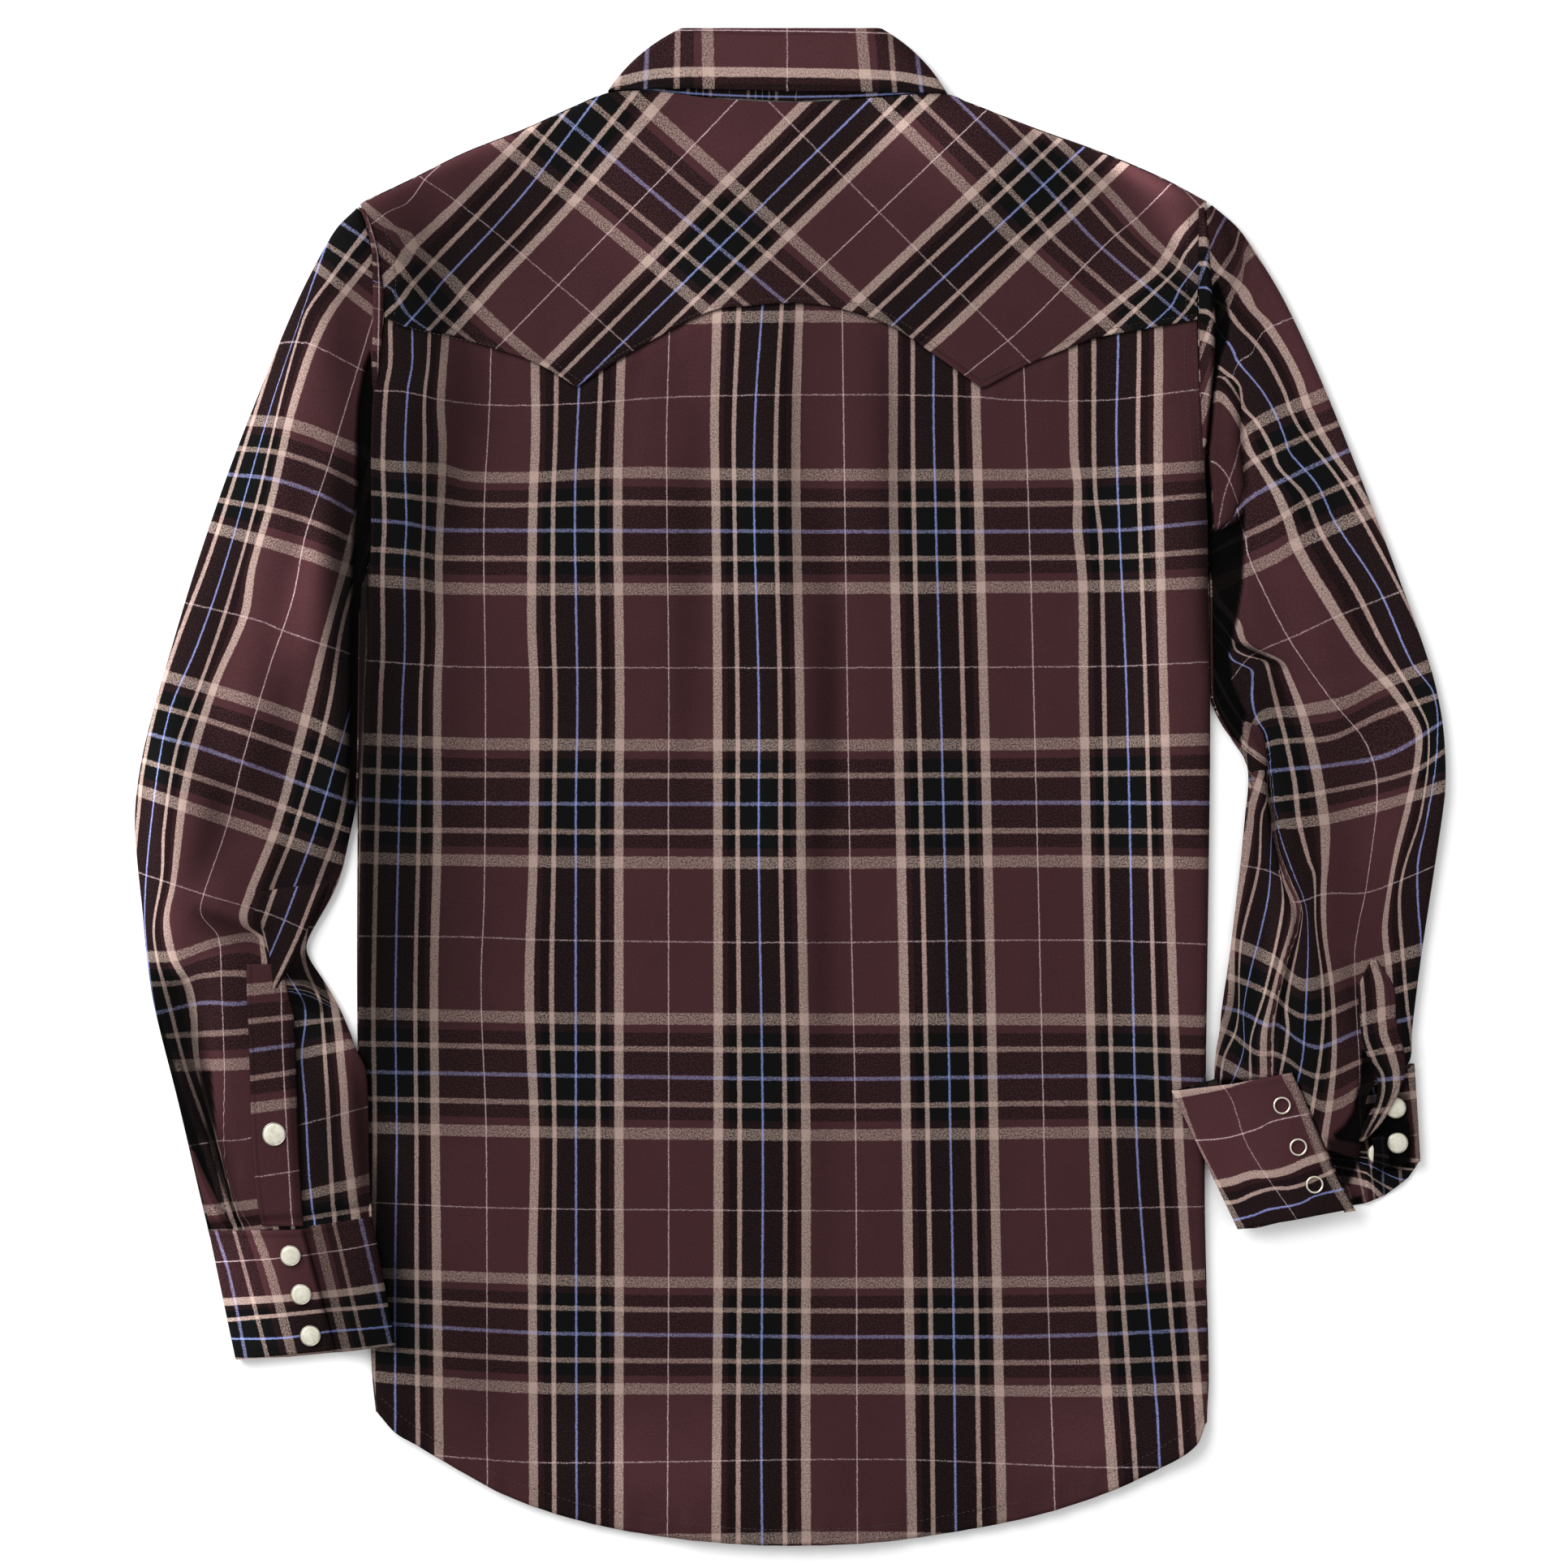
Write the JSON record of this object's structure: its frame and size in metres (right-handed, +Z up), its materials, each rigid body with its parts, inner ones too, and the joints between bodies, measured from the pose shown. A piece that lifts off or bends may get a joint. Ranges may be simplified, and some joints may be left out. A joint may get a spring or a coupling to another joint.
{
  "type": "western snap shirt",
  "caption": "Long-sleeved western shirt with a pointed back yoke, banded cuffs and pearl snaps, laid flat with its back up.",
  "frame": {"origin": "middle of the bounding box in plan, at the surface that the shirt lies on", "axes": "+Y from the hem towards the collar, +Z up through the back, +X towards the wearer's right sleeve"},
  "size_m": [0.7258, 0.839, 0.0112],
  "materials": {
    "plaid_cloth": "soft woven cotton, plaid of maroon, charcoal, cream and blue",
    "pearl_cap": "pearl, glossy, in a thin metal rim",
    "snap_metal": "pale, satin"
  },
  "bodies": {
    "root": {"back": "plaid_cloth", "yoke": "plaid_cloth", "front_left": "plaid_cloth", "front_right": "plaid_cloth", "front_band": "plaid_cloth", "collar_fall": "plaid_cloth", "collar_stand": "plaid_cloth", "sleeve_left": "plaid_cloth", "sleeve_right": "plaid_cloth", "sleeve_band_left": "plaid_cloth", "sleeve_band_right": "plaid_cloth", "cuff_left": "plaid_cloth", "cuff_right": "plaid_cloth", "snap_band_left": "pearl_cap", "snap_cuff_left_1": "pearl_cap", "snap_cuff_left_2": "pearl_cap", "snap_cuff_left_3": "pearl_cap", "snap_cuff_right_1": "pearl_cap", "snap_cuff_right_2": "pearl_cap", "snap_cuff_right_3": "pearl_cap", "snap_front_1": "pearl_cap", "snap_front_2": "pearl_cap", "snap_front_3": "pearl_cap", "snap_front_4": "pearl_cap", "snap_front_5": "pearl_cap", "snap_front_6": "pearl_cap", "snap_front_7": "pearl_cap", "ring_cuff_right_1": "snap_metal", "ring_cuff_right_2": "snap_metal", "ring_cuff_right_3": "snap_metal"}
  },
  "joints": []
}
